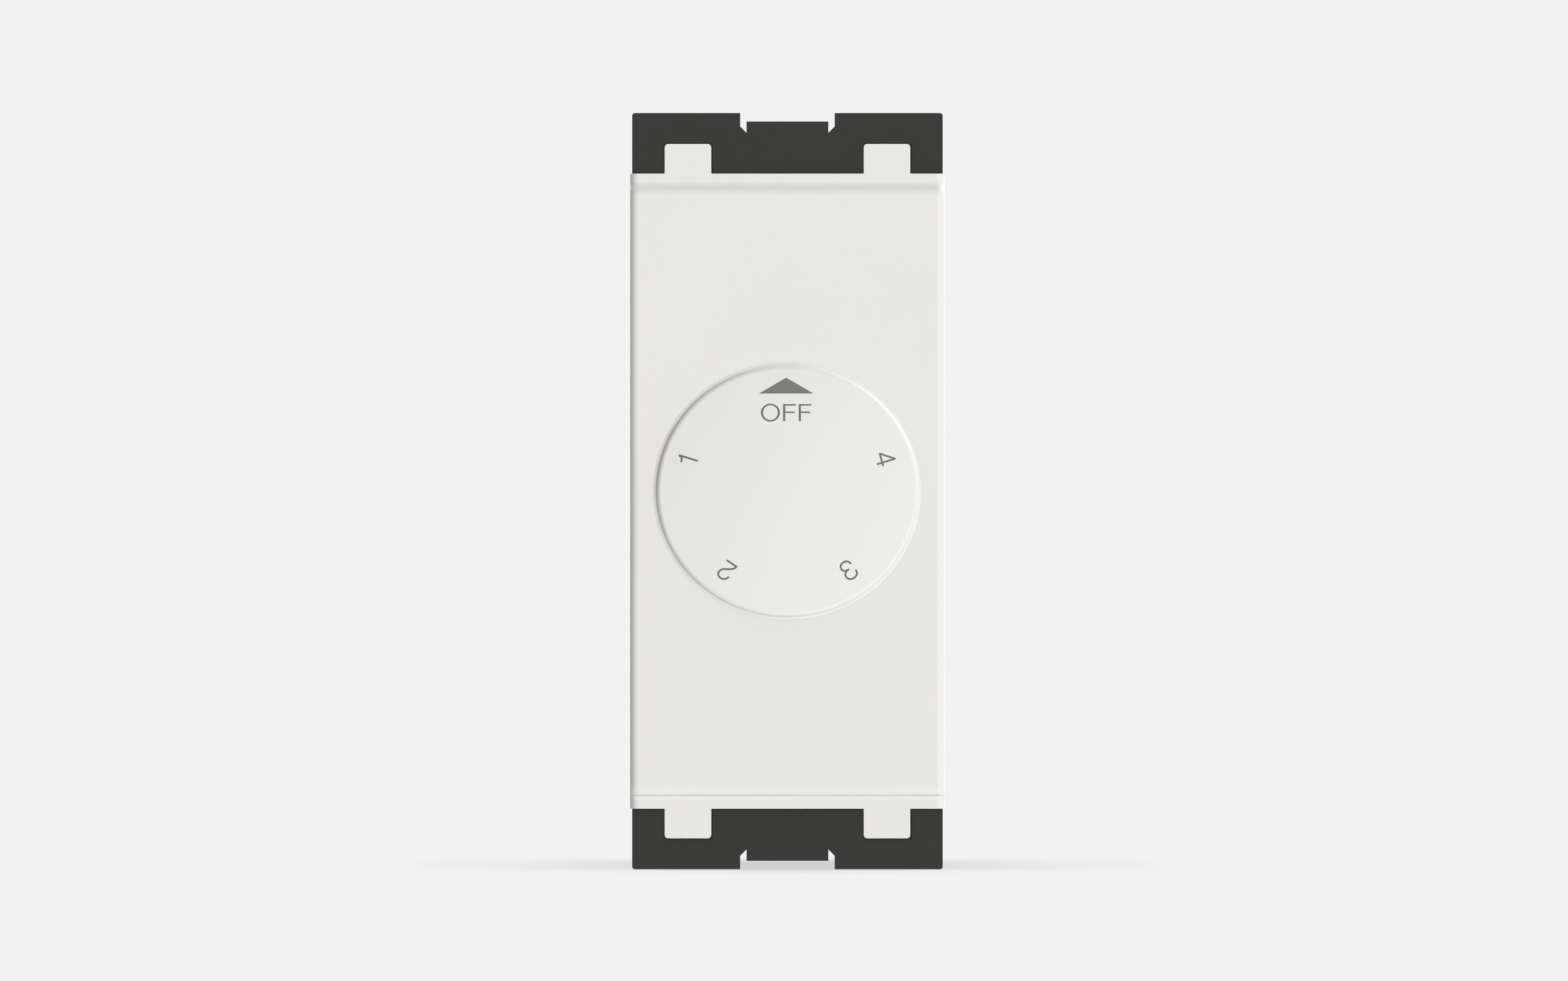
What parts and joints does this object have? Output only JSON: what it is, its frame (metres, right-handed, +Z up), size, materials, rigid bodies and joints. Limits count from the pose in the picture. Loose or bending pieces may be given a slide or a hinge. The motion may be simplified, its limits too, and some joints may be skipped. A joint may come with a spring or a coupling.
{
  "type": "fan speed control switch",
  "caption": "Rotary fan speed control that snaps into a wiring plate grid: white numbered dial and cover, dark carrier, deep housing with contacts, capacitors and screw cage terminals.",
  "frame": {"origin": "on the dial's axis, in the plane of the carrier flanges' rear faces, where they seat on the mounting grid", "axes": "+X to the right and +Z up as seen from the room, +Y into the wall along the dial's axis"},
  "size_m": [0.0222, 0.0422, 0.0536],
  "materials": {
    "white_cover": "satin moulded",
    "white_dial": "satin moulded, printed legend",
    "dark_carrier": "fine matt texture",
    "dark_housing": "fine matt texture",
    "rotor_plastic": "natural acetal",
    "spring_steel": "rolled strip and drawn wire",
    "contact_bronze": "stamped phosphor bronze",
    "contact_brass": "stamped brass",
    "board_laminate": "paper laminate",
    "capacitor_case": "moulded case",
    "resistor_body": "lacquered ceramic",
    "plated_steel": "zinc plated"
  },
  "bodies": {
    "module": {"front_cover": "white_cover", "carrier_frame": "dark_carrier", "rear_housing": "dark_housing", "index_spring": "spring_steel", "fixed_contacts": "contact_brass", "common_ring": "contact_brass", "circuit_board": "board_laminate", "capacitor_large": "capacitor_case", "capacitor_small": "capacitor_case", "bleed_resistor_upper": "resistor_body", "bleed_resistor_lower": "resistor_body", "series_resistor": "resistor_body", "line_busbar": "contact_brass", "load_busbar": "contact_brass"},
    "dial": {"speed_dial": "white_dial", "dial_leaf_spring": "spring_steel", "rotor_shaft": "rotor_plastic", "retaining_clip": "spring_steel", "wiper_contact": "contact_bronze", "contact_spring": "spring_steel"},
    "line_terminal_screw": {"line_screw": "plated_steel"},
    "line_terminal_cage": {"line_cage": "plated_steel"},
    "load_terminal_screw": {"load_screw": "plated_steel"},
    "load_terminal_cage": {"load_cage": "plated_steel"}
  },
  "joints": [
    {"name": "dial_turn", "type": "hinge", "parent": "module", "child": "dial", "pos_m": [0, 0, 0], "axis": [0, 1, 0], "continuous": true, "deforming": ["index_spring"]},
    {"name": "line_screw_turn", "type": "hinge", "parent": "module", "child": "line_terminal_screw", "pos_m": [0, 0.0304, 0.0185], "axis": [0, 0, -1], "range_deg": [0, 2160]},
    {"name": "line_cage_rise", "type": "slide", "parent": "module", "child": "line_terminal_cage", "axis": [0, 0, 1], "range_m": [0, 0.003]},
    {"name": "load_screw_turn", "type": "hinge", "parent": "module", "child": "load_terminal_screw", "pos_m": [0, 0.0304, -0.0185], "axis": [0, 0, 1], "range_deg": [0, 2160]},
    {"name": "load_cage_rise", "type": "slide", "parent": "module", "child": "load_terminal_cage", "axis": [0, 0, -1], "range_m": [0, 0.003]}
  ],
  "couplings": [
    {"joint": "line_screw_turn", "follows": "line_cage_rise", "rad_per_m": 12566},
    {"joint": "load_screw_turn", "follows": "load_cage_rise", "rad_per_m": 12566}
  ]
}
